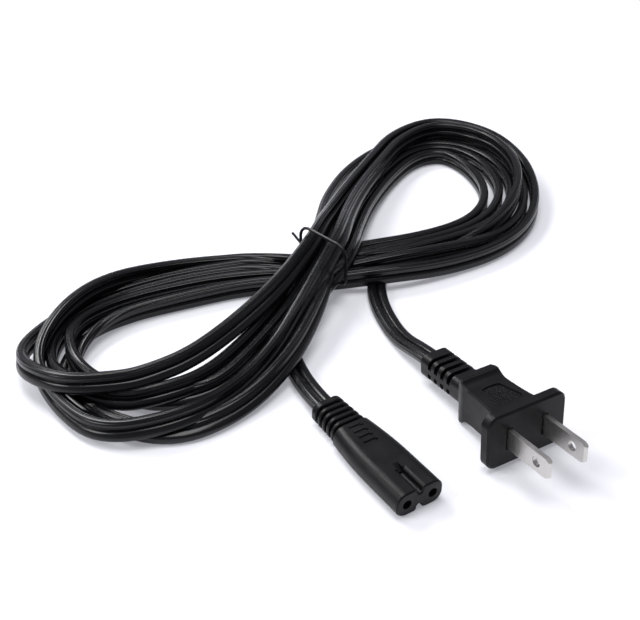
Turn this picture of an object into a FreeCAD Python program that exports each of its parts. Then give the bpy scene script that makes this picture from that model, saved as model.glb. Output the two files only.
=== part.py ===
import FreeCAD, Part
import Sketcher
import math
import os
from FreeCAD import Placement, Rotation, Vector

os.makedirs("parts", exist_ok=True)
doc = FreeCAD.newDocument("figure_eight_power_cord")

# Driving dimensions, in millimetres and degrees
dimensions = [
    ("connectorLength", 46.0), ("noseLength", 32.5), ("faceWidth", 15.6), ("faceHeight", 7.8),
    ("waistWidth", 12.9), ("straightNose", 14.0), ("sideRound", 3.4), ("faceBevel", 0.4),
    ("notchWidth", 1.7), ("notchDepth", 2.1), ("notchLength", 11.8), ("notchRamp", 2.4), ("notchShoulder", 1.2),
    ("pinSpacing", 8.6), ("pinBore", 2.9), ("contactDepth", 3.5), ("contactLength", 11.0),
    ("contactOuter", 3.4), ("contactInner", 2.3), ("contactSlit", 0.6),
    ("insertLength", 16.0), ("insertWall", 1.2), ("insertWeb", 1.9),
    ("crimpOuter", 3.0), ("crimpInner", 1.5), ("crimpLength", 6.0), ("stripLength", 4.5),
    ("coreDiameter", 3.3), ("corePitch", 3.4), ("coreStraight", 9.0),
    ("reliefFront", 12.0), ("reliefBack", 10.4), ("reliefHeight", 7.2), ("reliefRound", 3.0),
    ("reliefCoreWidth", 9.0), ("reliefCoreHeight", 5.4),
    ("ribPitch", 2.45), ("ribGroove", 1.1), ("ribGrooves", 5), ("ribStart", 0.25), ("ribEdge", 0.3),
    ("barLength", 4.4), ("barWidth", 0.75), ("barHook", 1.3), ("barRise", 0.35), ("barPitch", 2.47),
    ("barBack", 23.9), ("barCount", 4),
    ("flangeWidth", 27.9), ("flangeHeight", 17.6), ("flangeThick", 3.8), ("flangeCorner", 3.4),
    ("flangeBevel", 0.6), ("gripFront", 16.8), ("gripWaist", 14.3), ("gripBack", 11.4), ("gripBow", 70.0),
    ("gripHeight", 11.6), ("gripBevel", 0.5), ("gripCorner", 6.0), ("waistBack", 20.6), ("shoulderBack", 24.4),
    ("lipHeight", 15.6), ("lipThick", 2.6), ("coveLength", 3.4), ("coveRadius", 4.2),
    ("padFront", 8.2), ("padBack", 16.9), ("padFrontWidth", 10.6), ("padBackWidth", 6.6), ("padDeep", 0.4),
    ("padBow", 14.0), ("padCorner", 1.4),
    ("sleeveLength", 20.1), ("sleeveWidth", 10.5), ("sleeveHeight", 7.8), ("sleeveRound", 2.4),
    ("neckRound", 1.8), ("sleeveCoreWidth", 7.8), ("sleeveCoreHeight", 4.6), ("coreBow", 2.6),
    ("slotWidth", 1.6), ("slotPitch", 3.2), ("slotCount", 4), ("slotFront", 5.2), ("railHeight", 1.6),
    ("bladeSpacing", 12.7), ("bladeThick", 1.5), ("bladeWide", 6.35), ("bladeOut", 17.2), ("bladeIn", 12.0),
    ("bladeChamfer", 1.6), ("bladeHole", 3.15), ("bladeHoleAt", 12.0), ("bladeRecess", 0.35),
    ("recessDepth", 1.2), ("tangWide", 2.6), ("tangLength", 3.0), ("barrelLength", 5.0),
    ("carrierWidth", 20.0), ("carrierHeight", 9.0), ("carrierFront", 1.4), ("carrierPlate", 2.0),
    ("carrierSpine", 2.4), ("plugCoreStraight", 18.0),
    ("plugAhead", 22.9), ("plugAside", 37.7), ("plugTurn", -2.7), ("plugTilt", 5.0),
    ("cordWidth", 6.8), ("cordThick", 3.4), ("tieWire", 1.1), ("tieGap", 0.25), ("tieTail", 5.0),
    ("tieBack", 4.0), ("tieSkew", 25.0), ("tieSlack", 0.4), ("tieTopRound", 4.6), ("tieLowRound", 2.6),
]
sheet = doc.addObject("Spreadsheet::Sheet", "Dims")
for row, (name, value) in enumerate(dimensions, start=1):
    sheet.set("A%d" % row, name)
    sheet.set("B%d" % row, repr(value))
    sheet.setAlias("B%d" % row, name)
doc.recompute()
size = {name: float(sheet.get(name)) for name, value in dimensions}

# The gauge is a spare object whose one property reads the value of an expression on the sheet
gauge = doc.addObject("Part::Feature", "Gauge")
gauge.addProperty("App::PropertyFloat", "Reading")


def bound(expression):
    """An expression with each sheet name spelled in full."""
    words = []
    word = ""
    for letter in expression + " ":
        if letter.isalnum():
            word += letter
            continue
        words.append("Dims." + word if word in size else word)
        words.append(letter)
        word = ""
    return "".join(words).strip()


def measure(expression):
    gauge.setExpression("Reading", bound(expression))
    gauge.recompute()
    return gauge.Reading


def bind(thing, **expressions):
    for name, expression in expressions.items():
        thing.setExpression(name, bound(expression))


def move(thing, x="0", y="0", z="0"):
    """Tie the place of a primitive or a body to the sheet."""
    for axis, expression in (("x", x), ("y", y), ("z", z)):
        thing.setExpression("Placement.Base." + axis, bound(expression))


def new_body(name):
    return doc.addObject("PartDesign::Body", name)


def new_sketch(body, name, plane, lift="0"):
    """A sketch on one of the body's own planes, shifted along that plane's normal."""
    sketch = body.newObject("Sketcher::SketchObject", name)
    support = [face for face in body.Origin.OriginFeatures if face.Role == plane][0]
    sketch.AttachmentSupport = [(support, "")]
    sketch.MapMode = "FlatFace"
    sketch.setExpression("AttachmentOffset.Base.z", bound(lift))
    return sketch


def outline(sketch, corners, bows=None):
    """Close a loop of lines through corners given as pairs of expressions.

    bows maps the number of a side to (radius, sign): that side is an arc, bulging to the right of its
    direction for a sign of 1 and to the left for -1."""
    bows = bows or {}
    spots = [Vector(measure(x), measure(y), 0) for x, y in corners]
    first = sketch.GeometryCount
    count = len(spots)
    for side, start in enumerate(spots):
        end = spots[(side + 1) % count]
        if side in bows:
            radius, sign = measure(bows[side][0]), bows[side][1]
            half = (end - start) * 0.5
            rise = radius - math.sqrt(radius * radius - half.Length ** 2)
            out = Vector(half.y, -half.x, 0).normalize() * (rise * sign)
            sketch.addGeometry(Part.Arc(start, start + half + out, end), False)
        else:
            sketch.addGeometry(Part.LineSegment(start, end), False)

    def ends(side):
        near = sketch.getPoint(first + side, 1).distanceToPoint(spots[side])
        far = sketch.getPoint(first + side, 2).distanceToPoint(spots[side])
        return (1, 2) if near < far else (2, 1)

    for side in range(count):
        after = (side + 1) % count
        sketch.addConstraint(Sketcher.Constraint(
            "Coincident", first + side, ends(side)[1], first + after, ends(after)[0]))
    for side, (x, y) in enumerate(corners):
        for kind, expression, value in (("DistanceX", x, spots[side].x), ("DistanceY", y, spots[side].y)):
            number = sketch.addConstraint(Sketcher.Constraint(
                kind, -1, 1, first + side, ends(side)[0], value))
            sketch.setExpression("Constraints[%d]" % number, bound(expression))
        if side in bows:
            number = sketch.addConstraint(Sketcher.Constraint(
                "Radius", first + side, measure(bows[side][0])))
            sketch.setExpression("Constraints[%d]" % number, bound(bows[side][0]))


def box_corners(x0, x1, y0, y1):
    return [(x0, y0), (x1, y0), (x1, y1), (x0, y1)]


def rounded_section(body, name, lift, wide, high, corner):
    """A sketch across the body, lift along its axis: a rectangle with round corners."""
    sketch = new_sketch(body, name, "YZ_Plane", lift)
    edge, rim = wide + " / 2", high + " / 2"
    inner, upper = "(%s / 2 - %s)" % (wide, corner), "(%s / 2 - %s)" % (high, corner)
    outline(sketch, [("-" + inner, "-" + rim), (inner, "-" + rim), (edge, "-" + upper), (edge, upper),
                     (inner, rim), ("-" + inner, rim), ("-" + edge, upper), ("-" + edge, "-" + upper)],
            {side: (corner, 1) for side in (1, 3, 5, 7)})
    return sketch


def pad(body, name, sketch, length, middle=False, backwards=False):
    feature = body.newObject("PartDesign::Pad", name)
    feature.Profile = sketch
    feature.Midplane = middle
    feature.Reversed = backwards
    bind(feature, Length=length)
    doc.recompute()
    return feature


def pocket(body, name, sketch, length, middle=False, backwards=False):
    before = body.Shape.Volume
    feature = body.newObject("PartDesign::Pocket", name)
    feature.Profile = sketch
    feature.Midplane = middle
    feature.Reversed = backwards
    bind(feature, Length=length)
    doc.recompute()
    if body.Shape.Volume >= before:
        raise RuntimeError(name + " cuts nothing")
    return feature


def repeat(body, name, feature, axis, pitch, count):
    """Copies of a feature along one axis of the body, towards the cord."""
    pattern = body.newObject("PartDesign::LinearPattern", name)
    pattern.Originals = [feature]
    line = [edge for edge in body.Origin.OriginFeatures if edge.Role == axis][0]
    pattern.Direction = (line, [""])
    pattern.Reversed = True
    bind(pattern, Length="%s * (%s - 1)" % (pitch, count), Occurrences=count)
    body.Tip = pattern
    doc.recompute()
    return pattern


def soften(body, name, radius, wanted):
    """Round those edges of the body for which wanted(edge) is true."""
    before = body.Tip
    edges = enumerate(before.Shape.Edges, start=1)
    chosen = ["Edge%d" % number for number, edge in edges if wanted(edge)]
    feature = body.newObject("PartDesign::Fillet", name)
    feature.Base = (before, chosen)
    bind(feature, Radius=radius)
    body.Tip = feature
    doc.recompute()
    print(name, len(chosen), "edges", feature.State)
    return feature


def bevel(body, name, depth, wanted):
    """Take off square those edges of the body for which wanted(edge) is true."""
    before = body.Tip
    edges = enumerate(before.Shape.Edges, start=1)
    chosen = ["Edge%d" % number for number, edge in edges if wanted(edge)]
    feature = body.newObject("PartDesign::Chamfer", name)
    feature.Base = (before, chosen)
    bind(feature, Size=depth)
    body.Tip = feature
    doc.recompute()
    print(name, len(chosen), "edges", feature.State)
    return feature


def middle(edge):
    return edge.valueAt((edge.FirstParameter + edge.LastParameter) / 2)


def level(edge, axis, place, slack=0.02):
    """True where the whole edge lies at one place along an axis."""
    spots = [middle(edge)] + [vertex.Point for vertex in edge.Vertexes]
    return all(abs(getattr(spot, axis) - place) < slack for spot in spots)


def on_relief_skin(spot):
    """True where a point lies outside the connector's relief core."""
    flat = (size["reliefCoreWidth"] - size["reliefCoreHeight"]) / 2
    return math.hypot(max(abs(spot.y) - flat, 0), spot.z) > size["reliefCoreHeight"] / 2 + 0.1


def cylinder(name, diameter, length, x, y="0", z="0"):
    """A round bar along +X from the given place."""
    bar = doc.addObject("Part::Cylinder", name)
    bind(bar, Radius="(%s) / 2" % diameter, Height=length)
    bar.Placement = Placement(Vector(), Rotation(Vector(0, 1, 0), 90))
    move(bar, x, y, z)
    return bar


def block(name, length, width, height, x, y, z):
    """A block whose lowest corner is at the given place."""
    brick = doc.addObject("Part::Box", name)
    bind(brick, Length=length, Width=width, Height=height)
    move(brick, x, y, z)
    return brick


def fuse(name, pieces):
    joined = doc.addObject("Part::MultiFuse", name)
    joined.Shapes = pieces
    return joined


def cut(name, base, tool):
    result = doc.addObject("Part::Cut", name)
    result.Base = base
    result.Tool = tool
    return result


nodes = []


def node(label, source, place=None, turn=None):
    """The finished sub-part: its source shape, set in its place in the whole."""
    piece = doc.addObject("Part::Compound", "Node_" + label)
    piece.Links = [source]
    piece.Label = label
    if turn:
        piece.Placement = Placement(Vector(), turn)
    if place:
        move(piece, *place)
    nodes.append(piece)
    return piece


def shaped_node(label, shape):
    """A sub-part that no feature fits, such as a cord's run."""
    piece = doc.addObject("Part::Feature", "Node_" + label)
    piece.Label = label
    piece.Shape = shape
    nodes.append(piece)
    return piece


sides = (("left", 1), ("right", -1))


# Runs: a flat outline carried along straight lines that tangent arcs join
def swept_run(section, points):
    """The section drawn out along each straight and turned round each arc, the arcs as large as the runs allow."""
    pieces = []
    radii = []
    length = 0
    start = points[0]
    for before, corner, after in zip(points, points[1:], points[2:]):
        arriving = corner - before
        leaving = after - corner
        turn = arriving.getAngle(leaving)
        reach = 0.45 * min(arriving.Length, leaving.Length)
        radius = reach / math.tan(turn / 2)
        inward = corner - arriving.normalize() * reach
        hinge = arriving.cross(leaving).normalize()
        centre = inward + hinge.cross(arriving) * radius
        pieces.append(section.extrude(inward - start))
        section = section.translated(inward - start)
        pieces.append(section.revolve(centre, hinge, math.degrees(turn)))
        section = section.rotated(centre, hinge, math.degrees(turn))
        length += (inward - start).Length + radius * turn
        radii.append(radius)
        start = corner + leaving.normalize() * reach
    pieces.append(section.extrude(points[-1] - start))
    length += (points[-1] - start).Length
    return pieces[0].fuse(pieces[1:]).removeSplitter(), radii, length


# Leads: the two insulated cores inside a moulding, stripped where they enter their crimps
def lead_shape(back, spread, front, far, side):
    """One core, straight behind the cord as far as spread and then slanting out to its crimp."""
    near = side * size["corePitch"] / 2
    end = Part.Face(Part.Wire(Part.makeCircle(size["coreDiameter"] / 2, Vector(back, near, 0), Vector(1, 0, 0))))
    straight = end.extrude(Vector(spread - back, 0, 0))
    slanting = end.translated(Vector(spread - back, 0, 0)).extrude(Vector(front - spread, side * far - near, 0))
    strands = Part.makeCylinder(size["crimpInner"] / 2, size["stripLength"], Vector(front, side * far, 0), Vector(1, 0, 0))
    return straight.fuse([slanting, strands])


# Connector: carrier of the two contacts, in a frame whose axis runs through the middle of the face
faceAt = "connectorLength / 2"
insertBack = "connectorLength / 2 - insertLength"
contactFront = "connectorLength / 2 - contactDepth"
contactBack = "connectorLength / 2 - contactDepth - contactLength"
crimpBack = contactBack + " - crimpLength"
insertDiameter = "pinBore + 2 * insertWall"
pieces = []
bores = []
for word, side in sides:
    across = "%d * pinSpacing / 2" % side
    pieces.append(cylinder("InsertTube_" + word, insertDiameter, "insertLength", insertBack, across))
    bores.append(cylinder("PinBore_" + word, "pinBore", "contactDepth", contactFront, across))
    bores.append(cylinder("ContactSeat_" + word, "contactOuter", "insertLength - contactDepth", insertBack, across))
pieces.append(block("InsertWeb", "insertLength", "pinSpacing", "insertWeb",
                    insertBack, "-pinSpacing / 2", "-insertWeb / 2"))
insertEnvelope = fuse("InsertEnvelope", pieces)
insert = cut("Insert", insertEnvelope, fuse("InsertBores", bores))
axisHeight = ("0", "0", "faceHeight / 2")

# Connector: slit socket contacts and the leads crimped in them
crimpRooms = []
leads = []
for word, side in sides:
    across = "%d * pinSpacing / 2" % side
    sleeve = cylinder("Sleeve_" + word, "contactOuter", "contactLength", contactBack, across)
    crimp = cylinder("Crimp_" + word, "crimpOuter", "crimpLength", crimpBack, across)
    crimpRooms.append(crimp)
    hollow = cylinder("SleeveBore_" + word, "contactInner", "contactLength", contactBack, across)
    strand = cylinder("StrandBore_" + word, "crimpInner", "crimpLength", crimpBack, across)
    slit = block("Slit_" + word, "contactLength", "contactSlit", "contactOuter",
                 contactBack, across + " - contactSlit / 2", "0")
    contact = cut("Contact_" + word, fuse("ContactSolid_" + word, [sleeve, crimp]),
                  fuse("ContactVoid_" + word, [hollow, strand, slit]))
    node("connector_contact_" + word, contact, axisHeight)
    lead = doc.addObject("Part::Feature", "ConnectorLead_" + word)
    back = -size["connectorLength"] / 2
    lead.Shape = lead_shape(back, back + size["coreStraight"], measure(crimpBack), size["pinSpacing"] / 2, side)
    leads.append(lead)
    node("connector_lead_" + word, lead, axisHeight)
node("connector_insert", insert, axisHeight)

# Connector: soft moulding with the figure eight nose, grip bars and ribbed strain relief
nose = new_body("Nose")
noseBack = "connectorLength / 2 - noseLength"
halfFace = size["faceHeight"] / 2
faceX = size["connectorLength"] / 2
noseX = faceX - size["noseLength"]
relief = new_sketch(nose, "ReliefPlan", "XY_Plane")
outline(relief, [("-connectorLength / 2", "-reliefBack / 2"), (noseBack + " + reliefRound", "-reliefFront / 2"),
                 (noseBack + " + reliefRound", "reliefFront / 2"), ("-connectorLength / 2", "reliefBack / 2")])
pad(nose, "ReliefPad", relief, "reliefHeight", True)
soften(nose, "ReliefSides", "reliefRound",
       lambda edge: abs(abs(middle(edge).z) - size["reliefHeight"] / 2) < 0.02 and abs(middle(edge).y) > 1)
plan = new_sketch(nose, "NosePlan", "XY_Plane")
taper = "((faceWidth - waistWidth) / 2)"
noseBow = "((noseLength - straightNose) ^ 2 + %s ^ 2) / (2 * %s)" % (taper, taper)
outline(plan, [(noseBack, "-waistWidth / 2"), (faceAt + " - straightNose", "-faceWidth / 2"),
               (faceAt, "-faceWidth / 2"), (faceAt, "faceWidth / 2"),
               (faceAt + " - straightNose", "faceWidth / 2"), (noseBack, "waistWidth / 2")],
        {0: (noseBow, 1), 4: (noseBow, 1)})
pad(nose, "NosePad", plan, "faceHeight", True)
soften(nose, "NoseSides", "sideRound",
       lambda edge: (level(edge, "z", halfFace) or level(edge, "z", -halfFace))
       and not level(edge, "x", faceX) and not level(edge, "x", noseX))
# each notch is a channel with round shoulders and a round floor that runs out behind
lip = "faceHeight / 2"
wall = "notchWidth / 2"
for word, sign, bulge in (("Top", "", 1), ("Under", "-", -1)):
    rim = sign + "(faceHeight / 2)"
    above = sign + "(faceHeight / 2 + notchShoulder)"
    shoulder = sign + "(faceHeight / 2 - notchShoulder)"
    floor = sign + "(faceHeight / 2 - notchDepth + notchWidth / 2)"
    spread = "(notchWidth / 2 + notchShoulder)"
    channel = new_sketch(nose, "Notch" + word, "YZ_Plane", faceAt)
    outline(channel, [("-" + spread, rim), ("-" + wall, shoulder), ("-" + wall, floor), (wall, floor), (wall, shoulder),
                      (spread, rim), (spread, above), ("-" + spread, above)],
            {0: ("notchShoulder", -bulge), 2: ("notchWidth / 2 + 0.0001", bulge), 4: ("notchShoulder", -bulge)})
    pocket(nose, "NotchCut" + word, channel, "notchLength - notchRamp")
    runout = new_sketch(nose, "NotchRunout" + word, "XZ_Plane")
    outline(runout, [(faceAt + " - notchLength", above), (faceAt + " - notchLength", rim),
                     (faceAt + " - notchLength + notchRamp", sign + "(faceHeight / 2 - notchDepth + notchRamp / 4)"),
                     (faceAt + " - notchLength + notchRamp", above)])
    pocket(nose, "NotchRamp" + word, runout, "notchWidth", True)
bevel(nose, "FaceEdge", "faceBevel", lambda edge: level(edge, "x", faceX))
ring = new_sketch(nose, "GrooveRing", "YZ_Plane", noseBack + " - ribStart")
outline(ring, box_corners("-faceWidth", "faceWidth", "-faceHeight", "faceHeight"))
coreArc = "reliefCoreHeight / 2 + 0.0001"
outline(ring, box_corners("-(reliefCoreWidth - reliefCoreHeight) / 2", "(reliefCoreWidth - reliefCoreHeight) / 2",
                          "-reliefCoreHeight / 2", "reliefCoreHeight / 2"),
        {1: (coreArc, 1), 3: (coreArc, 1)})
groove = pocket(nose, "Groove", ring, "ribGroove")
repeat(nose, "Grooves", groove, "X_Axis", "ribPitch", "ribGrooves")
bevel(nose, "RibEdges", "ribEdge",
      lambda edge: middle(edge).x < noseX - size["ribStart"] - 0.05
      and level(edge, "x", middle(edge).x) and on_relief_skin(middle(edge)))
bars = new_sketch(nose, "GripBar", "XY_Plane", "faceHeight / 2 - barRise")
barX = faceAt + " - barBack"
outline(bars, [(barX, "-barLength / 2"), (barX + " + barWidth", "-barLength / 2"),
               (barX + " + barWidth", "barLength / 2 - barWidth"),
               (barX + " + barHook", "barLength / 2 - barWidth"),
               (barX + " + barHook", "barLength / 2"), (barX, "barLength / 2")])
bar = pad(nose, "GripBarPad", bars, "2 * barRise")
repeat(nose, "GripBars", bar, "X_Axis", "barPitch", "barCount")
hollows = fuse("ConnectorHollow", [insertEnvelope] + crimpRooms + leads)
node("connector_body", cut("ConnectorMoulding", nose, hollows), axisHeight)


# Plug: in a frame with its face at x = 0, its blades along +X and the two blades side by side in y
plugPlace = ("placement(vector(plugAhead; plugAside; (shoulderBack - gripBevel) * sin(plugTilt)"
             " + (lipHeight / 2 - gripBevel) * cos(plugTilt) + gripBevel); rotation(plugTurn; -plugTilt; 0))")


def plug_node(label, source):
    piece = node(label, source)
    bind(piece, Placement=plugPlace)
    return piece


# Plug: folded-in blades, each with a crimp barrel that holds a lead
tangBack = "-(bladeIn - barrelLength + tangLength / 2)"
bladeBodies = []
bladeEnvelopes = []
plugLeads = []
for word, side in sides:
    blade = new_body("Blade_" + word)
    form = new_sketch(blade, "BladeForm_" + word, "XZ_Plane")
    neck = "-(bladeIn - barrelLength - tangLength)"
    outline(form, [(tangBack, "-tangWide / 2"), (neck, "-tangWide / 2"), (neck, "-bladeWide / 2"),
                   ("bladeOut - bladeChamfer", "-bladeWide / 2"), ("bladeOut", "-bladeWide / 2 + bladeChamfer / 2"),
                   ("bladeOut", "bladeWide / 2 - bladeChamfer / 2"), ("bladeOut - bladeChamfer", "bladeWide / 2"),
                   (neck, "bladeWide / 2"), (neck, "tangWide / 2"), (tangBack, "tangWide / 2")])
    pad(blade, "BladePad_" + word, form, "bladeThick", True)
    plate = blade.Tip
    tipX = size["bladeOut"]
    tipEdges = ["Edge%d" % number for number, edge in enumerate(plate.Shape.Edges, start=1)
                if level(edge, "x", tipX) and abs(middle(edge).z) < 0.1]
    tip = blade.newObject("PartDesign::Chamfer", "BladeTip_" + word)
    tip.Base = (plate, tipEdges)
    bind(tip, Size="bladeThick / 3")
    blade.Tip = tip
    doc.recompute()
    spot = new_sketch(blade, "BladeHoleSpot_" + word, "XZ_Plane")
    circle = spot.addGeometry(Part.Circle(Vector(size["bladeHoleAt"], 0, 0), Vector(0, 0, 1), size["bladeHole"] / 2), False)
    spot.addConstraint(Sketcher.Constraint("PointOnObject", circle, 3, -1))
    for kind, name, value in (("DistanceX", "bladeHoleAt", size["bladeHoleAt"]),
                              ("Diameter", "bladeHole", size["bladeHole"])):
        ends = (-1, 1, circle, 3) if kind == "DistanceX" else (circle,)
        number = spot.addConstraint(Sketcher.Constraint(kind, *ends, value))
        spot.setExpression("Constraints[%d]" % number, bound(name))
    pocket(blade, "BladeHole_" + word, spot, "2 * bladeThick", True)
    move(blade, "0", "%d * bladeSpacing / 2" % side)
    barrelY = "%d * (bladeSpacing / 2 - crimpOuter / 2 + bladeThick / 4)" % side
    barrel = cylinder("Barrel_" + word, "crimpOuter", "barrelLength", "-bladeIn", barrelY)
    bore = cylinder("BarrelBore_" + word, "crimpInner", "barrelLength", "-bladeIn", barrelY)
    whole = fuse("BladeSolid_" + word, [blade, barrel])
    bladeEnvelopes.append(whole)
    plug_node("plug_blade_" + word, cut("BladeWithBarrel_" + word, whole, bore))
    lead = doc.addObject("Part::Feature", "PlugLead_" + word)
    back = -(size["shoulderBack"] + size["sleeveLength"])
    lead.Shape = lead_shape(back, back + size["plugCoreStraight"], -size["bladeIn"], measure(barrelY) * side, side)
    plugLeads.append(lead)
    plug_node("plug_lead_" + word, lead)

# Plug: stiff carrier that spaces the blades behind the face
carrierPieces = [
    block("CarrierPlate", "carrierPlate", "carrierWidth", "carrierHeight",
          "-carrierFront - carrierPlate", "-carrierWidth / 2", "-carrierHeight / 2"),
    block("CarrierSpine", "carrierSpine", "bladeSpacing - bladeThick", "bladeWide",
          "-carrierFront - carrierPlate - carrierSpine", "-(bladeSpacing - bladeThick) / 2", "-bladeWide / 2")]
carrierEnvelope = fuse("CarrierEnvelope", carrierPieces)
plug_node("plug_carrier", cut("Carrier", carrierEnvelope, fuse("CarrierSlots", bladeEnvelopes)))

# Plug: soft moulding with its flange, waisted grip, lips and slotted strain relief
grip = new_body("Grip")
face = rounded_section(grip, "FlangeFace", "0", "flangeWidth", "flangeHeight", "flangeCorner")
pad(grip, "Flange", face, "flangeThick", backwards=True)
side = new_sketch(grip, "GripSide", "XZ_Plane")
lipFront = "-(shoulderBack - lipThick)"
coveFront = "-(shoulderBack - lipThick - coveLength)"
outline(side, [("-shoulderBack", "-lipHeight / 2"), (lipFront, "-lipHeight / 2"), (coveFront, "-gripHeight / 2"),
               ("-flangeThick", "-gripHeight / 2"), ("-flangeThick", "gripHeight / 2"),
               (coveFront, "gripHeight / 2"), (lipFront, "lipHeight / 2"), ("-shoulderBack", "lipHeight / 2")],
        {1: ("coveRadius", -1), 5: ("coveRadius", -1)})
pad(grip, "GripPad", side, "gripFront", True)
lipX = -(size["shoulderBack"] - size["lipThick"])
backX = -size["shoulderBack"]
lipZ = size["lipHeight"] / 2


def on_lip_rim(edge):
    return (level(edge, "x", lipX) or level(edge, "x", backX)) and (level(edge, "z", lipZ) or level(edge, "z", -lipZ))


waist = new_sketch(grip, "GripPlan", "XY_Plane")
for sign, bulge in (("-", 1), ("", -1)):
    outline(waist, [("-shoulderBack", sign + "gripBack / 2"), ("-waistBack", sign + "gripWaist / 2"),
                    ("-flangeThick", sign + "gripFront / 2"), ("-flangeThick", sign + "gripFront"),
                    ("-shoulderBack", sign + "gripFront")],
            {0: ("gripCorner", bulge), 1: ("gripBow", -bulge)})
pocket(grip, "GripWaist", waist, "2 * lipHeight", True)
halfGrip = size["gripHeight"] / 2
bevel(grip, "GripEdges", "gripBevel",
      lambda edge: on_lip_rim(edge) or (backX + 0.05 < middle(edge).x < -size["flangeThick"] - 0.05
                                        and abs(middle(edge).z) > halfGrip - 0.05
                                        and not level(edge, "x", middle(edge).x)))
sleeve = rounded_section(grip, "SleeveSection", "-shoulderBack", "sleeveWidth", "sleeveHeight", "sleeveRound")
pad(grip, "Sleeve", sleeve, "sleeveLength", backwards=True)
soften(grip, "NeckFlare", "neckRound",
       lambda edge: level(edge, "x", backX) and abs(middle(edge).z) < size["sleeveHeight"] / 2 + 0.02
       and abs(middle(edge).y) < size["sleeveWidth"] / 2 + 0.02)
bevel(grip, "FlangeEdges", "flangeBevel",
      lambda edge: (level(edge, "x", 0) or level(edge, "x", -size["flangeThick"]))
      and max(abs(middle(edge).z) - halfGrip, abs(middle(edge).y) - size["gripFront"] / 2) > 0.3)
slots = new_sketch(grip, "SlotSection", "YZ_Plane", "-(shoulderBack + slotFront)")
for sign, bulge in (("-", 1), ("", -1)):
    outline(slots, [("-sleeveWidth", sign + "railHeight / 2"), ("-sleeveCoreWidth / 2", sign + "railHeight / 2"),
                    ("-(sleeveCoreWidth / 2 - coreBow / 2)", sign + "sleeveCoreHeight / 2"),
                    ("sleeveCoreWidth / 2 - coreBow / 2", sign + "sleeveCoreHeight / 2"),
                    ("sleeveCoreWidth / 2", sign + "railHeight / 2"), ("sleeveWidth", sign + "railHeight / 2"),
                    ("sleeveWidth", sign + "sleeveHeight"), ("-sleeveWidth", sign + "sleeveHeight")],
            {1: ("coreBow", bulge), 3: ("coreBow", bulge)})
slot = pocket(grip, "Slot", slots, "slotWidth")
repeat(grip, "Slots", slot, "X_Axis", "slotPitch", "slotCount")
for word, sign in (("Top", ""), ("Under", "-")):
    thumb = new_sketch(grip, "ThumbPad" + word, "XY_Plane", sign + "(gripHeight / 2 - padDeep)")
    outline(thumb, [("-padBack", "-padBackWidth / 2"), ("-padFront", "-padFrontWidth / 2"),
                    ("-padFront", "padFrontWidth / 2"), ("-padBack", "padBackWidth / 2")],
            {1: ("padBow", 1), 3: ("padBow", 1)})
    pocket(grip, "ThumbRecess" + word, thumb, "2 * padDeep", backwards=sign == "")
soften(grip, "ThumbCorners", "padCorner",
       lambda edge: len(edge.Vertexes) == 2 and abs(edge.Length - size["padDeep"]) < 0.01
       and -size["padBack"] - 1 < middle(edge).x < -size["padFront"] + 1)
for word, side in sides:
    recess = new_sketch(grip, "BladeRecess_" + word, "YZ_Plane")
    centre = "%d * bladeSpacing / 2" % side
    outline(recess, box_corners(centre + " - bladeThick / 2 - bladeRecess", centre + " + bladeThick / 2 + bladeRecess",
                                "-bladeWide / 2 - bladeRecess", "bladeWide / 2 + bladeRecess"))
    pocket(grip, "BladeRecessCut_" + word, recess, "recessDepth")
plugHollow = fuse("PlugHollow", [carrierEnvelope] + bladeEnvelopes + plugLeads)
plug_node("plug_body", cut("PlugMoulding", grip, plugHollow))
doc.recompute()


# Cord: flat twin cord, with the routes chosen by hand along the floor
up = Vector(0, 0, 1)
onFloor = size["cordThick"] / 2 + 0.1
cordExit = Vector(-size["connectorLength"] / 2, 0, size["faceHeight"] / 2)
plugFrame = nodes[-1].Placement
collar = plugFrame.multVec(Vector(-(size["shoulderBack"] + size["sleeveLength"]), 0, 0))
behind = plugFrame.Rotation.multVec(Vector(-1, 0, 0))
connectorRoute = [
    cordExit, cordExit + Vector(-6, 0, 0), Vector(-45.0, 3.8, onFloor), Vector(-65.5, 16.5, 2.2),
]
plugRoute = [
    collar, collar + behind * 7, Vector(-42.5, 41.3, onFloor), Vector(-63.0, 47.6, onFloor),
    Vector(-79.0, 58.6, onFloor),
]


def flat_section(centre, along, wide, thick):
    """The outline of the flat cord, square to its run: two half circles and the flats between them."""
    across = along.cross(up).normalize()
    high = across.cross(along).normalize() * (thick / 2)
    flat = across * ((wide - thick) / 2)
    outer = across * (wide / 2)
    return Part.Wire([
        Part.LineSegment(centre - flat - high, centre + flat - high).toShape(),
        Part.Arc(centre + flat - high, centre + outer, centre + flat + high).toShape(),
        Part.LineSegment(centre + flat + high, centre - flat + high).toShape(),
        Part.Arc(centre - flat + high, centre - outer, centre - flat - high).toShape()])


def cord_run(label, points):
    end = Part.Face(flat_section(points[0], points[1] - points[0], size["cordWidth"], size["cordThick"]))
    run, radii, length = swept_run(end, points)
    print(label, "radii", [round(radius, 1) for radius in radii], "length", round(length, 1),
          "volume share", round(run.Volume / (end.Area * length), 4))
    return shaped_node(label, run)


tails = [cord_run("cord_tail_connector", connectorRoute), cord_run("cord_tail_plug", plugRoute)]

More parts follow.
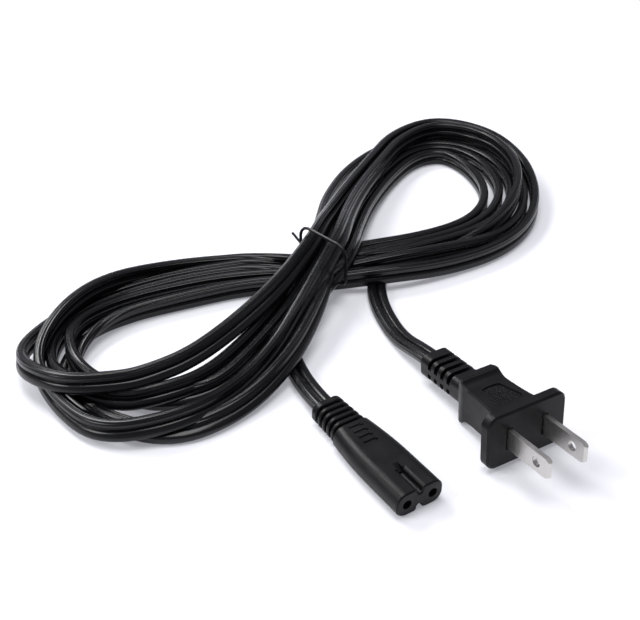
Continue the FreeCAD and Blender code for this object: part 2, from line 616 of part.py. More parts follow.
# Hank: x, y, half width, underside and top of the bundle at each station of its figure of eight
stations = [
    (-84.5, 41, 9.4, 8.4, 21.7), (-95, 51.5, 9.6, 7.9, 20.5), (-105, 60, 11.0, 5.5, 17.0),
    (-123, 77, 13.0, 1.0, 15.0), (-140, 100, 14.0, 0.0, 14.0), (-150, 123, 13.0, 0.0, 14.0),
    (-148, 141, 13.0, 0.0, 14.0), (-134, 149, 13.0, 0.0, 14.0), (-116, 147, 13.0, 0.0, 14.0),
    (-98, 138, 10.5, 0.0, 14.0), (-84, 123, 11.0, 0.0, 12.0), (-77, 105, 12.0, 0.0, 10.0),
    (-78, 83, 12.0, 0.0, 8.0), (-84, 61, 12.0, 0.0, 6.9), (-91, 39, 12.0, 0.0, 6.9),
    (-100, 17, 13.0, 0.0, 6.9), (-105, -6, 13.5, 0.0, 8.0), (-106, -30, 12.0, 0.0, 10.0),
    (-100, -48, 9.0, 0.0, 12.0), (-86, -61, 8.0, 0.0, 14.0), (-69, -64, 10.0, 0.0, 14.0),
    (-53, -57, 12.0, 0.0, 14.0), (-46, -42, 12.0, 0.0, 14.0), (-48, -23, 12.0, 0.0, 14.0),
    (-57, -3, 11.0, 2.0, 16.0), (-69, 18.5, 9.6, 8.2, 19.5),
]
bundleCorner = 3.2


def bundle_section(number):
    """An eight-sided section of the bundle, square to its course."""
    x, y, half, low, high = stations[number]
    before = stations[number - 1]
    after = stations[(number + 1) % len(stations)]
    along = Vector(after[0] - before[0], after[1] - before[1], 0).normalize()
    aside = Vector(-along.y, along.x, 0)
    cut_in = half - bundleCorner
    rim = [(half, low + bundleCorner), (half, high - bundleCorner), (cut_in, high), (-cut_in, high),
           (-half, high - bundleCorner), (-half, low + bundleCorner), (-cut_in, low), (cut_in, low)]
    points = [Vector(x, y, 0) + aside * across + up * height for across, height in rim]
    return Part.makePolygon(points + points[:1])


sections = [bundle_section(number) for number in range(len(stations))]
hank = Part.makeLoft(sections, True, True, True)
if hank.Volume < 0:
    hank.reverse()
shaped_node("cord_hank", hank.cut(tails[0].Shape).cut(tails[1].Shape))

# Tie: a coated wire closed round the upper bundle where the two bundles cross, skewed, with its twisted end
here = stations[0]
behindIt = stations[-1]
course = Vector(here[0] - behindIt[0], here[1] - behindIt[1], 0).normalize()
tieCentre = Vector(here[0], here[1], 0) - course * size["tieBack"]
turned = Rotation(up, -size["tieSkew"])
aside = turned.multVec(up.cross(course))
tieOut = size["tieGap"] + size["tieWire"] / 2
half = here[2] / math.cos(math.radians(size["tieSkew"])) + tieOut + size["tieSlack"]
low = here[3] - tieOut
high = here[4] + tieOut


def tie_point(across, height):
    return tieCentre + aside * across + up * height


tops = size["tieTopRound"]
lows = size["tieLowRound"]
wireRadius = size["tieWire"] / 2
hinge = aside.cross(up)
spot = tie_point(lows - half, low)
flats = [spot + (hinge * math.cos(math.radians(angle)) + up * math.sin(math.radians(angle))) * wireRadius
         for angle in range(0, 360, 45)]
bead = Part.Face(Part.makePolygon(flats + flats[:1]))
legs = [
    (tie_point(half - lows, low), tie_point(half - lows, low + lows)),
    (tie_point(half, high - tops), tie_point(half - tops, high - tops)),
    (tie_point(tops - half, high), tie_point(tops - half, high - tops)),
    (tie_point(-half, low + lows), tie_point(lows - half, low + lows)),
]
beads = []
for corner, centre in legs:
    beads.append(bead.extrude(corner - spot))
    bead = bead.translated(corner - spot)
    beads.append(bead.revolve(centre, hinge, 90))
    bead = bead.rotated(centre, hinge, 90)
    spot = centre + Rotation(hinge, 90).multVec(corner - centre)
ring = beads[0].fuse(beads[1:])
root = tie_point(half, (low + high) / 2)
tail = Part.makeCylinder(0.85 * wireRadius, size["tieTail"], root, (aside + up * 0.5).normalize())
shaped_node("twist_tie", ring.fuse(tail).removeSplitter())

# Check every object, then write each sub-part
doc.removeObject("Gauge")
doc.recompute()
for thing in doc.Objects:
    if "Invalid" in thing.State or "Error" in thing.State:
        raise RuntimeError("%s is %s" % (thing.Label, thing.State))
for piece in nodes:
    shape = piece.Shape
    if shape.isNull() or not shape.isValid() or not shape.Solids:
        raise RuntimeError(piece.Label + " has no sound solid")
for piece in nodes:
    piece.Shape.exportStep("parts/%s.step" % piece.Label)
    box = piece.Shape.optimalBoundingBox(False)
    print("%-26s %2d solid, %9.1f mm3, x %.1f..%.1f y %.1f..%.1f z %.2f..%.2f" % (
        piece.Label, len(piece.Shape.Solids), piece.Shape.Volume,
        box.XMin, box.XMax, box.YMin, box.YMax, box.ZMin, box.ZMax))
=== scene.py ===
import math
import bmesh
import bpy
import numpy as np
from mathutils import Matrix, Vector


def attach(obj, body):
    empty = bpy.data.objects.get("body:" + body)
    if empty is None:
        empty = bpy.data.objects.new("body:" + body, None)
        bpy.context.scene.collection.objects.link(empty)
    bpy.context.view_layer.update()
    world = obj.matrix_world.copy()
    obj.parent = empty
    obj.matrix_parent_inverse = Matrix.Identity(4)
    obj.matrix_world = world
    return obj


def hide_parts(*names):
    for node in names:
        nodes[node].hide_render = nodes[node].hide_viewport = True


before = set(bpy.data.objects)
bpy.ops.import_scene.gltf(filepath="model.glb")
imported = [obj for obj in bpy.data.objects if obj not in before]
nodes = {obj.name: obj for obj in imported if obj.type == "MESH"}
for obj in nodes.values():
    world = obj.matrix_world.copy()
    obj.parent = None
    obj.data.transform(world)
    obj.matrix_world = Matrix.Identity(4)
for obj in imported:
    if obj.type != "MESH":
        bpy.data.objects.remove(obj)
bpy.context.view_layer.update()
mm = 0.001


# Small helpers for objects
def addObject(name, data):
    item = bpy.data.objects.new(name, data)
    bpy.context.scene.collection.objects.link(item)
    return item


def aimAt(place, target):
    start = Vector(place) * mm
    turn = (Vector(target) * mm - start).to_track_quat("-Z", "Y")
    return Matrix.Translation(start) @ turn.to_matrix().to_4x4()


def finishedMesh(holder):
    depsgraph = bpy.context.evaluated_depsgraph_get()
    mesh = bpy.data.meshes.new_from_object(holder.evaluated_get(depsgraph))
    bpy.data.objects.remove(holder)
    return mesh


# Camera: the photograph's distance, height and turn, aimed at a spot on the table between the loops
cameraSet = {
    "place": (181.1, -134.4, 203.2),    # mm
    "target": (-72.8, 30.3, 0.0),
    "lens": 59.06,
    "sensor": 36.0,
    "roll": -0.20,                      # degrees
    "near": 0.01,                       # m
    "far": 20,
}


def addCamera(cfg):
    data = bpy.data.cameras.new("camera")
    data.lens = cfg["lens"]
    data.sensor_width = cfg["sensor"]
    data.clip_start = cfg["near"]
    data.clip_end = cfg["far"]
    cam = addObject("camera", data)
    roll = Matrix.Rotation(math.radians(cfg["roll"]), 4, "Z")
    cam.matrix_world = aimAt(cfg["place"], cfg["target"]) @ roll
    bpy.context.scene.camera = cam


addCamera(cameraSet)
print("camera set")


# Small helpers for node materials
def newMaterial(name):
    mat = bpy.data.materials.new(name)
    mat.use_nodes = True
    mat.node_tree.nodes.clear()
    return mat, mat.node_tree


def addNode(tree, kind, values=None, **attrs):
    node = tree.nodes.new(kind)
    for key, value in attrs.items():
        setattr(node, key, value)
    for key, value in (values or {}).items():
        node.inputs[key].default_value = value
    return node


def join(tree, fromNode, fromSocket, toNode, toSocket):
    tree.links.new(fromNode.outputs[fromSocket], toNode.inputs[toSocket])


def newSurface(name, values):
    mat, tree = newMaterial(name)
    out = addNode(tree, "ShaderNodeOutputMaterial")
    shader = addNode(tree, "ShaderNodeBsdfPrincipled", values)
    join(tree, shader, "BSDF", out, "Surface")
    return mat, tree, shader


noiseSpan = (0.3, 0.7)      # most of a noise's values lie between these


def roughFrom(tree, noise, shader, cfg):
    low, high = cfg["rough"]
    spread = addNode(tree, "ShaderNodeMapRange", {"From Min": noiseSpan[0], "From Max": noiseSpan[1],
                                                  "To Min": low, "To Max": high})
    join(tree, noise, "Fac", spread, "Value")
    join(tree, spread, "Result", shader, "Roughness")


def bumpFrom(tree, source, socket, shader, cfg):
    bump = addNode(tree, "ShaderNodeBump", {"Strength": cfg["bumpStrength"], "Distance": cfg["bumpDepth"]})
    join(tree, source, socket, bump, "Height")
    join(tree, bump, "Normal", shader, "Normal")


# Moulded PVC: near black, satin, with a fine spark-eroded grain and faint handling marks
mouldSet = {
    "color": (0.0030, 0.0030, 0.0036, 1),
    "specular": 0.22,
    "rough": (0.34, 0.48),
    "marks": {"Scale": 160.0, "Detail": 4.0, "Roughness": 0.55},
    "grain": {"Scale": 2400, "Detail": 3.0, "Roughness": 0.6},
    "bumpStrength": 0.5,
    "bumpDepth": 0.00006,    # m
}
insertSet = {**mouldSet, "color": (0.007, 0.007, 0.008, 1), "bumpDepth": 0.00001}
pipSet = {**mouldSet, "specular": 0.55, "rough": (0.24, 0.30), "bumpDepth": 0.00001}
tieSet = {**mouldSet, "rough": (0.30, 0.36), "bumpDepth": 0.000002}


def mouldMaterial(name, cfg):
    mat, tree, shader = newSurface(name, {"Base Color": cfg["color"], "Specular IOR Level": cfg["specular"]})
    coord = addNode(tree, "ShaderNodeTexCoord")
    grain = addNode(tree, "ShaderNodeTexNoise", cfg["grain"])
    marks = addNode(tree, "ShaderNodeTexNoise", cfg["marks"])
    join(tree, coord, "Object", grain, "Vector")
    join(tree, coord, "Object", marks, "Vector")
    roughFrom(tree, marks, shader, cfg)
    bumpFrom(tree, grain, "Fac", shader, cfg)
    return mat


# Bare metal: nickel plate on the blades and brass contacts, with faint drawing lines along them
metalSet = {
    "nickel": (0.60, 0.585, 0.56, 1),
    "brass": (0.72, 0.55, 0.28, 1),
    "rough": (0.27, 0.38),
    "lineScale": (300, 6000, 6000),      # long along the metal, fine across it
    "lines": {"Scale": 1.0, "Detail": 2.0},
    "bumpStrength": 0.08,
    "bumpDepth": 0.000002,
}


def metalMaterial(name, color, cfg):
    mat, tree, shader = newSurface(name, {"Base Color": color, "Metallic": 1.0})
    coord = addNode(tree, "ShaderNodeTexCoord")
    stretch = addNode(tree, "ShaderNodeMapping", {"Scale": cfg["lineScale"]})
    lines = addNode(tree, "ShaderNodeTexNoise", cfg["lines"])
    join(tree, coord, "Object", stretch, "Vector")
    join(tree, stretch, "Vector", lines, "Vector")
    roughFrom(tree, lines, shader, cfg)
    bumpFrom(tree, lines, "Fac", shader, cfg)
    return mat


# Cord jacket: satin PVC, one lobe finely ribbed along its length and the other smooth
jacketSet = {
    "color": (0.0022, 0.0022, 0.0030, 1),
    "specular": 0.35,
    "rough": (0.22, 0.30),
    "marks": {"Scale": 90.0, "Detail": 5.0, "Roughness": 0.6},
    "ribs": 22.0,            # ribs round the whole section, shown on one lobe only
    "ribbedShare": 0.5,      # the share of the section that is ribbed
    "bumpStrength": 0.6,
    "bumpDepth": 0.0001,
}


def jacketMaterial(name, cfg):
    mat, tree, shader = newSurface(name, {"Base Color": cfg["color"], "Specular IOR Level": cfg["specular"]})
    coord = addNode(tree, "ShaderNodeTexCoord")
    split = addNode(tree, "ShaderNodeSeparateXYZ")
    wave = addNode(tree, "ShaderNodeMath", {1: 2 * math.pi * cfg["ribs"]}, operation="MULTIPLY")
    sine = addNode(tree, "ShaderNodeMath", operation="SINE")
    mask = addNode(tree, "ShaderNodeMath", {1: cfg["ribbedShare"]}, operation="LESS_THAN")
    ribbed = addNode(tree, "ShaderNodeMath", operation="MULTIPLY")
    marks = addNode(tree, "ShaderNodeTexNoise", cfg["marks"])
    join(tree, coord, "UV", split, "Vector")
    join(tree, split, "X", wave, 0)
    join(tree, wave, "Value", sine, 0)
    join(tree, split, "X", mask, 0)
    join(tree, sine, "Value", ribbed, 0)
    join(tree, mask, "Value", ribbed, 1)
    join(tree, coord, "Object", marks, "Vector")
    roughFrom(tree, marks, shader, cfg)
    bumpFrom(tree, ribbed, "Value", shader, cfg)
    return mat


mouldBlack = mouldMaterial("mouldedPvc", mouldSet)
insertBlack = mouldMaterial("hardInsert", insertSet)
nickel = metalMaterial("nickelPlate", metalSet["nickel"], metalSet)
brass = metalMaterial("plainBrass", metalSet["brass"], metalSet)
jacket = jacketMaterial("cordJacket", jacketSet)
pipBlack = mouldMaterial("thumbPips", pipSet)
tieCoat = mouldMaterial("tieCoating", tieSet)

finishes = {
    "connector_body": mouldBlack, "plug_body": mouldBlack,
    "connector_insert": insertBlack, "plug_carrier": insertBlack,
    "connector_contact_left": brass, "connector_contact_right": brass,
    "plug_blade_left": nickel, "plug_blade_right": nickel,
    "connector_lead_left": insertBlack, "connector_lead_right": insertBlack,
    "plug_lead_left": insertBlack, "plug_lead_right": insertBlack,
    "twist_tie": tieCoat,
}
for name, finish in finishes.items():
    slots = nodes[name].data.materials
    slots.clear()
    slots.append(finish)
print("materials set")


# Cord: one line from the connector through five and a half turns of the hank to the plug, in mm and degrees
cordSet = {
    "width": 6.8,
    "thick": 3.4,
    "grooveDepth": 0.95,
    "lobeSquare": 2.8,       # how square the lobes are: 2 is round
    "ringPoints": 44,
    "splineOrder": 3,
    "splineSteps": 8,
    "tailRoll": 0,
    "plugRoll": 180,
    "clearance": 0.2,        # the least gap above the table
}
tailRoute = [      # from the connector's relief
    (-23.0, 0.0, 3.9), (-29.0, 0.0, 3.9), (-44.0, 3.2, 1.8), (-61.0, 8.6, 1.8), (-72.0, 24.0, 4.6),
]
plugRoute = [      # into the plug's relief, in the direction of travel
    (-78.0, 70.5, 1.8), (-79.0, 58.6, 1.8), (-63.0, 47.6, 1.8),
    (-42.5, 41.3, 1.8), (-28.35, 40.12, 5.37), (-21.38, 39.79, 5.98),
]
# x and y of the figure of eight's middle line, starting under the tie
stations = [
    (-84.5, 41), (-95, 51.5), (-105, 60), (-123, 77), (-140, 100), (-150, 123), (-148, 141),
    (-134, 149), (-116, 147), (-98, 138), (-84, 123), (-77, 105), (-78, 83), (-84, 61),
    (-91, 39), (-100, 17), (-105, -6), (-106, -30), (-100, -48), (-86, -61), (-69, -64),
    (-53, -57), (-46, -42), (-48, -23), (-57, -3), (-69, 18.5),
]
# How the passes lie at each station: distance to the left of travel, height and roll of each pass in turn.
# From station 13 on there are five, because the sixth has left for the plug.
lay = {
    0: [(-7.4, 11.8, 82), (4.6, 18.1, 48), (-2.5, 11.8, 92), (7.2, 12.2, 98), (2.3, 11.9, 86),
        (-3.6, 18, 55)],
    1: [(-7.4, 10, 80), (4.4, 17, 55), (-3, 10.6, 90), (7, 11.5, 88), (1.9, 11, 88), (-3.4, 17.2, 62)],
    2: [(-7.4, 7.2, 80), (3.2, 14.2, 62), (-3.3, 8, 88), (7.4, 9.2, 84), (1.4, 8.4, 86), (-3.5, 15, 68)],
    3: [(-8, 4.8, 82), (0.8, 11.8, 74), (-3.8, 5.2, 86), (9.4, 5.4, 82), (0, 5.4, 86), (-4.4, 12.2, 76)],
    4: [(-7.8, 3.6, 85), (0.6, 10.6, 80), (-3.6, 3.6, 88), (11, 3.8, 85), (0.3, 3.6, 88), (-4, 10.6, 82)],
    5: [(-6.6, 3.5, 88), (5.8, 10.4, 85), (-2.2, 3.5, 90), (9.8, 3.5, 88), (1.9, 3.5, 90), (0.6, 10.4, 85)],
    6: [(-7.4, 3.5, 90), (12, 10.2, 88), (-2.4, 3.5, 90), (8.4, 3.5, 88), (2.2, 3.5, 90), (6.8, 10.5, 88)],
    7: [(-9.6, 3.5, 90), (11.4, 9.8, 88), (-2.4, 3.5, 90), (8.6, 3.5, 88), (2.4, 3.5, 90), (7.2, 10.4, 88)],
    8: [(-10, 3.5, 90), (12.2, 7, 88), (-2.4, 3.5, 90), (8.2, 3.5, 88), (3, 3.5, 90), (6.2, 10.4, 88)],
    9: [(-9, 3.5, 90), (11.6, 4.6, 90), (-2.6, 3.5, 90), (7.2, 3.5, 90), (2.4, 3.5, 90), (4.4, 10.2, 90)],
    10: [(-8.4, 3.5, 92), (11.8, 3.7, 94), (-3.8, 3.5, 92), (7.4, 3.5, 95), (0.6, 3.5, 92), (3.6, 9.6, 95)],
    11: [(-8.8, 3.5, 95), (12, 3.7, 96), (-5, 3.5, 95), (7.4, 4.6, 96), (-1.6, 3.5, 95), (3, 5.4, 115)],
    12: [(-9.2, 3.5, 95), (12.4, 4.2, 96), (-5.6, 3.5, 95), (6.6, 6.9, 96), (-2.4, 3.5, 95),
         (3.4, 1.9, 172)],
    13: [(-9.4, 3.5, 90), (14, 6.6, 94), (-5.6, 3.5, 90), (6.8, 6.9, 92), (-1.6, 3.6, 90)],
    14: [(-9, 1.9, 15), (9, 4, 88), (-1.8, 1.9, 20), (4, 3.5, 88), (-7, 5.4, 12)],
    15: [(-7.4, 3.5, 85), (5.6, 3.6, 88), (-3.8, 3.5, 85), (0.2, 3.4, 85), (-11, 3.6, 88)],
    16: [(-9, 3.5, 90), (6, 3.5, 88), (-5.2, 3.5, 90), (-1.4, 3.5, 90), (-12.4, 5.8, 88)],
    17: [(-10, 3.5, 90), (3.4, 3.5, 80), (-6.2, 3.5, 90), (-2.6, 4.2, 90), (-9.6, 10.2, 88)],
    18: [(-11.6, 3.6, 88), (2.6, 2.4, 40), (-5.9, 3.5, 90), (-2.2, 5.6, 88), (-6.2, 10.2, 88)],
    19: [(-12.6, 7.6, 80), (3.2, 1.9, 8), (-2.2, 4.4, 85), (5.6, 7, 85), (-6, 6.8, 85)],
    20: [(-1.6, 10.8, 70), (3.2, 1.9, 6), (4, 7, 70), (10.6, 5, 80), (-2.8, 4, 75)],
    21: [(10.6, 10.4, 62), (0.8, 2, 15), (8.6, 4.4, 64), (14, 3.6, 75), (-6.9, 4.4, 64)],
    22: [(12.4, 10.8, 58), (-9, 2, 16), (7, 6.8, 62), (9.2, 2, 20), (-7.5, 7, 60)],
    23: [(11, 11.2, 58), (-11.2, 3.2, 48), (5.3, 5.6, 62), (0.8, 3.8, 64), (-5.6, 4.8, 62)],
    24: [(8.3, 12.8, 58), (-11.7, 6.4, 62), (4.5, 6.6, 64), (0.3, 6, 66), (-5.6, 6.8, 66)],
    25: [(5, 16.2, 52), (-7.8, 9.2, 72), (4.4, 9.4, 70), (0.4, 9.2, 72), (-3.4, 12.6, 66)],
}


def stationPoint(station, left, height):
    x, y = stations[station]
    ahead = stations[(station + 1) % len(stations)]
    behind = stations[station - 1]
    along = Vector((ahead[0] - behind[0], ahead[1] - behind[1], 0)).normalized()
    side = Vector((-along.y, along.x, 0))
    return Vector((x, y, 0)) + side * left + Vector((0, 0, height))


lineRoute = [Vector(point) for point in tailRoute]
lineRoll = [cordSet["tailRoll"]] * len(tailRoute)
for turn in range(len(lay[0])):
    for station in range(len(stations)):
        if turn == len(lay[station]):     # the last pass ends here
            break
        left, height, roll = lay[station][turn]
        lineRoute.append(stationPoint(station, left, height))
        lineRoll.append(roll)
for point in plugRoute:
    lineRoute.append(Vector(point))
    lineRoll.append(cordSet["plugRoll"])


def splineLine(name, route, cfg):
    curve = bpy.data.curves.new(name, "CURVE")
    curve.dimensions = "3D"
    curve.resolution_u = cfg["splineSteps"]
    spline = curve.splines.new("NURBS")
    spline.points.add(len(route) - 1)
    for spot, point in zip(spline.points, route):
        spot.co = (*(point * mm), 1)
    spline.order_u = cfg["splineOrder"]
    spline.use_endpoint_u = True
    mesh = finishedMesh(addObject(name, curve))
    return [vert.co.copy() for vert in mesh.vertices]


# Half of the section is a squarish lobe, open where it meets the web; the other half is its half turn
def cordSection(cfg):
    radius = cfg["thick"] / 2
    power = 2 / cfg["lobeSquare"]
    web = 1 - cfg["grooveDepth"] / radius
    limit = math.pi - math.asin(web ** (1 / power))
    half = cfg["ringPoints"] // 2
    lobe = []
    for index in range(half):
        angle = limit * (1 - 2 * index / (half - 1))
        c, s = math.cos(angle), math.sin(angle)
        x = cfg["width"] / 4 + radius * math.copysign(abs(c) ** power, c)
        lobe.append((x, radius * math.copysign(abs(s) ** power, s)))
    return lobe + [(-x, -y) for x, y in lobe]


def sweepCord(name, line, rolls, cfg):
    points = np.array(line)
    ahead = np.gradient(points, axis=0)
    ahead /= np.linalg.norm(ahead, axis=1)[:, None]
    side = np.cross((0, 0, 1), ahead)
    side /= np.linalg.norm(side, axis=1)[:, None]
    over = np.cross(ahead, side)
    turn = np.radians(rolls)[:, None]
    lobeWay = np.cos(turn) * side + np.sin(turn) * over
    faceWay = np.cos(turn) * over - np.sin(turn) * side
    section = np.array(cordSection(cfg)) * mm
    lobeStep = section[None, :, :1] * lobeWay[:, None]
    faceStep = section[None, :, 1:] * faceWay[:, None]
    verts = points[:, None] + lobeStep + faceStep
    rings, count = verts.shape[:2]
    length = np.concatenate([[0], np.cumsum(np.linalg.norm(np.diff(points, axis=0), axis=1))])
    faces = []
    corners = []      # the map runs round the section in u and along the cord in v
    for ring in range(rings - 1):
        v0, v1 = length[ring], length[ring + 1]
        for k in range(count):
            a, b = ring * count + k, ring * count + (k + 1) % count
            u0, u1 = k / count, (k + 1) / count
            faces.append((a, a + count, b + count, b))
            corners += [(u0, v0), (u0, v1), (u1, v1), (u1, v0)]
    faces.append(tuple(range(count)))
    faces.append(tuple(reversed(range((rings - 1) * count, rings * count))))
    corners += [(0, 0)] * (2 * count)     # the two cut ends
    mesh = bpy.data.meshes.new(name)
    mesh.from_pydata(verts.reshape(-1, 3).tolist(), [], faces)
    mesh.uv_layers.new(name="jacket").data.foreach_set("uv", np.array(corners).ravel())
    mesh.polygons.foreach_set("use_smooth", [True] * (len(mesh.polygons) - 2) + [False, False])
    mesh.update()
    return addObject(name, mesh)


line = splineLine("cordLine", lineRoute, cordSet)
# The line has its ends at the first and last points and passes the others half way along its spans
spans = len(lineRoute) - 2
knots = [0] + [span + 0.5 for span in range(spans)] + [spans]
rolls = np.interp(np.linspace(0, spans, len(line)), knots, lineRoll)
lobeRadius = cordSet["thick"] / 2 * mm
clearance = cordSet["clearance"] * mm
for point, roll in zip(line, rolls):     # the lower lobe lies on the table, never in it
    point.z = max(point.z, lobeRadius * (1 + abs(math.sin(math.radians(roll)))) + clearance)
cordPiece = sweepCord("flatCord", line, rolls, cordSet)
cordPiece.data.materials.append(jacket)
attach(cordPiece, "root")
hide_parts("cord_tail_connector", "cord_hank", "cord_tail_plug")


# Thumb rests: pips in rows on the floors of the two recesses of the plug's grip, top and bottom
plugSet = {
    "place": (22.9, 37.7, 9.86),     # mm, the middle of the blade face
    "turn": -2.7,                    # degrees
    "tilt": 5.0,
    "restFloor": 5.4,                # above the plug's own middle plane
    "restFront": -8.2,
    "restBack": -16.9,
    "restFrontWidth": 10.6,
    "restBackWidth": 6.6,
    "edgeGap": 0.65,
    "pipPitch": 0.75,
    "pipRadius": 0.29,
    "pipHeight": 0.45,
    "pipSides": 8,
}


def plugFrame(cfg):
    place = Matrix.Translation(Vector(cfg["place"]) * mm)
    turn = Matrix.Rotation(math.radians(cfg["turn"]), 4, "Z")
    tilt = Matrix.Rotation(math.radians(-cfg["tilt"]), 4, "Y")
    return place @ turn @ tilt


# A grid of points cut to the tapered rest, with a pip on each
def pipTree(cfg, material):
    tree = bpy.data.node_groups.new("thumbPips", "GeometryNodeTree")
    face = tree.interface
    face.new_socket("Geometry", in_out="INPUT", socket_type="NodeSocketGeometry")
    ids = {}
    for label in ("Length", "Width", "Back Width", "Pitch", "Pip Radius", "Pip Height"):
        ids[label] = face.new_socket(label, in_out="INPUT", socket_type="NodeSocketFloat").identifier
    face.new_socket("Geometry", in_out="OUTPUT", socket_type="NodeSocketGeometry")
    start = addNode(tree, "NodeGroupInput")
    end = addNode(tree, "NodeGroupOutput")
    rows = addNode(tree, "ShaderNodeMath", operation="DIVIDE")
    columns = addNode(tree, "ShaderNodeMath", operation="DIVIDE")
    grid = addNode(tree, "GeometryNodeMeshGrid")
    where = addNode(tree, "GeometryNodeInputPosition")
    split = addNode(tree, "ShaderNodeSeparateXYZ")
    across = addNode(tree, "ShaderNodeMath", operation="ABSOLUTE")
    halfLength = addNode(tree, "ShaderNodeMath", {1: 0.5}, operation="MULTIPLY")
    backLength = addNode(tree, "ShaderNodeMath", {1: -0.5}, operation="MULTIPLY")
    halfFront = addNode(tree, "ShaderNodeMath", {1: 0.5}, operation="MULTIPLY")
    halfBack = addNode(tree, "ShaderNodeMath", {1: 0.5}, operation="MULTIPLY")
    taper = addNode(tree, "ShaderNodeMapRange")
    outside = addNode(tree, "ShaderNodeMath", operation="GREATER_THAN")
    trim = addNode(tree, "GeometryNodeDeleteGeometry")
    pip = addNode(tree, "GeometryNodeMeshCone", {"Vertices": cfg["pipSides"]})
    rise = addNode(tree, "GeometryNodeInstanceOnPoints")
    whole = addNode(tree, "GeometryNodeRealizeInstances")
    finish = addNode(tree, "GeometryNodeSetMaterial", {"Material": material})
    join(tree, start, "Length", rows, 0)
    join(tree, start, "Pitch", rows, 1)
    join(tree, start, "Width", columns, 0)
    join(tree, start, "Pitch", columns, 1)
    join(tree, start, "Length", grid, "Size X")
    join(tree, start, "Width", grid, "Size Y")
    join(tree, rows, 0, grid, "Vertices X")
    join(tree, columns, 0, grid, "Vertices Y")
    join(tree, where, 0, split, 0)
    join(tree, split, "Y", across, 0)
    join(tree, start, "Length", halfLength, 0)
    join(tree, start, "Length", backLength, 0)
    join(tree, start, "Width", halfFront, 0)
    join(tree, start, "Back Width", halfBack, 0)
    join(tree, split, "X", taper, "Value")
    join(tree, backLength, 0, taper, "From Min")
    join(tree, halfLength, 0, taper, "From Max")
    join(tree, halfBack, 0, taper, "To Min")
    join(tree, halfFront, 0, taper, "To Max")
    join(tree, across, 0, outside, 0)
    join(tree, taper, 0, outside, 1)
    join(tree, grid, "Mesh", trim, "Geometry")
    join(tree, outside, 0, trim, "Selection")
    join(tree, start, "Pip Radius", pip, "Radius Bottom")
    join(tree, start, "Pip Height", pip, "Depth")
    join(tree, trim, 0, rise, "Points")
    join(tree, pip, "Mesh", rise, "Instance")
    join(tree, rise, 0, whole, 0)
    join(tree, whole, 0, finish, "Geometry")
    join(tree, finish, 0, end, 0)
    return tree, ids


def addThumbPips(cfg, material):
    tree, ids = pipTree(cfg, material)
    holder = addObject("pipHolder", bpy.data.meshes.new("pipHolder"))
    grow = holder.modifiers.new("pips", "NODES")
    grow.node_group = tree
    sizes = {
        "Length": cfg["restFront"] - cfg["restBack"] - 2 * cfg["edgeGap"],
        "Width": cfg["restFrontWidth"] - 2 * cfg["edgeGap"],
        "Back Width": cfg["restBackWidth"] - 2 * cfg["edgeGap"],
        "Pitch": cfg["pipPitch"], "Pip Radius": cfg["pipRadius"], "Pip Height": cfg["pipHeight"],
    }
    for label, value in sizes.items():
        grow[ids[label]] = value * mm
    mesh = finishedMesh(holder)
    middle = Vector(((cfg["restFront"] + cfg["restBack"]) / 2, 0, cfg["restFloor"])) * mm
    upper = mesh.copy()
    upper.transform(Matrix.Translation(middle))
    lower = upper.copy()
    lower.transform(Matrix.Rotation(math.pi, 4, "X"))
    both = bmesh.new()
    both.from_mesh(upper)
    both.from_mesh(lower)
    both.transform(plugFrame(cfg))
    both.to_mesh(mesh)
    both.free()
    mesh.name = "thumb_pips"
    piece = addObject("thumb_pips", mesh)
    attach(piece, "root")
    return piece


pips = addThumbPips(plugSet, pipBlack)
print("thumb pips:", len(pips.data.polygons), "faces")


# Table: a matt pale sheet that takes the object's shadow and is lifted to white for the camera and in gloss
floorSet = {
    "half": 4.0,      # m
    "color": (0.66, 0.66, 0.69, 1),
    "lift": 0.25,
    "glow": (0.92, 0.92, 1.0, 1),
}


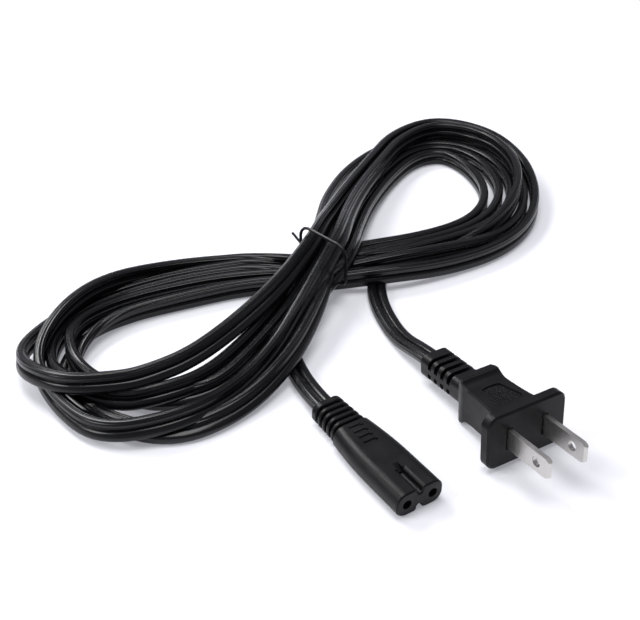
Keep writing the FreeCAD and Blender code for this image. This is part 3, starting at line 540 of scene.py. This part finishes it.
def addFloor(cfg):
    mesh = bpy.data.meshes.new("table")
    h = cfg["half"]
    mesh.from_pydata([(-h, -h, 0), (h, -h, 0), (h, h, 0), (-h, h, 0)], [], [(0, 1, 2, 3)])
    table = addObject("table", mesh)
    mat, tree = newMaterial("tableWhite")
    out = addNode(tree, "ShaderNodeOutputMaterial")
    sheet = addNode(tree, "ShaderNodeBsdfDiffuse", {"Color": cfg["color"]})
    glow = addNode(tree, "ShaderNodeEmission", {"Color": cfg["glow"]})
    path = addNode(tree, "ShaderNodeLightPath")
    mirror = addNode(tree, "ShaderNodeMath", operation="MAXIMUM")
    seen = addNode(tree, "ShaderNodeMath", operation="MAXIMUM")
    lift = addNode(tree, "ShaderNodeMath", {1: cfg["lift"]}, operation="MULTIPLY")
    both = addNode(tree, "ShaderNodeAddShader")
    join(tree, path, "Is Glossy Ray", mirror, 0)
    join(tree, path, "Is Transmission Ray", mirror, 1)
    join(tree, path, "Is Camera Ray", seen, 0)
    join(tree, mirror, "Value", seen, 1)
    join(tree, seen, "Value", lift, 0)
    join(tree, lift, "Value", glow, "Strength")
    join(tree, sheet, "BSDF", both, 0)
    join(tree, glow, "Emission", both, 1)
    join(tree, both, "Shader", out, "Surface")
    mesh.materials.append(mat)


addFloor(floorSet)

# Studio light: soft boxes behind at the left, in front at the left and overhead, in a room with grey walls
# and a dimmer ceiling
lightSet = {
    "wall": 0.45,
    "ceiling": 0.25,
    "wallTop": 0.12,      # the sine of the angle above the horizon up to which the walls reach
    "ceilingFrom": 0.55,
    "tint": (0.90, 0.90, 1.0, 1),
    "boxes": [    # place and aim in mm, size in m, watts
        {"place": (-632, -80, 600), "aim": (-80, 40, 0), "size": (0.40, 0.26), "power": 4.4},
        {"place": (-240, -620, 540), "aim": (-60, 0, 0), "size": (0.30, 0.34), "power": 3.0},
        {"place": (-90, 60, 800), "aim": (-80, 40, 0), "size": (0.46, 0.46), "power": 4.0},
    ],
}


def addLights(cfg):
    world = bpy.data.worlds.new("room")
    world.use_nodes = True
    bpy.context.scene.world = world
    tree = world.node_tree
    tree.nodes.clear()
    out = addNode(tree, "ShaderNodeOutputWorld")
    room = addNode(tree, "ShaderNodeBackground", {"Color": cfg["tint"]})
    coord = addNode(tree, "ShaderNodeTexCoord")
    split = addNode(tree, "ShaderNodeSeparateXYZ")
    level = addNode(tree, "ShaderNodeMapRange", {"From Min": cfg["wallTop"], "From Max": cfg["ceilingFrom"],
                                                 "To Min": cfg["wall"], "To Max": cfg["ceiling"]})
    join(tree, coord, "Generated", split, "Vector")
    join(tree, split, "Z", level, "Value")
    join(tree, level, "Result", room, "Strength")
    join(tree, room, "Background", out, "Surface")
    for number, box in enumerate(cfg["boxes"]):
        data = bpy.data.lights.new("softBox%d" % number, "AREA")
        data.shape = "RECTANGLE"
        data.size, data.size_y = box["size"]
        data.energy = box["power"]
        lamp = addObject(data.name, data)
        lamp.matrix_world = aimAt(box["place"], box["aim"])


addLights(lightSet)
bpy.context.scene.view_settings.view_transform = "Standard"
print("stage and lights set")
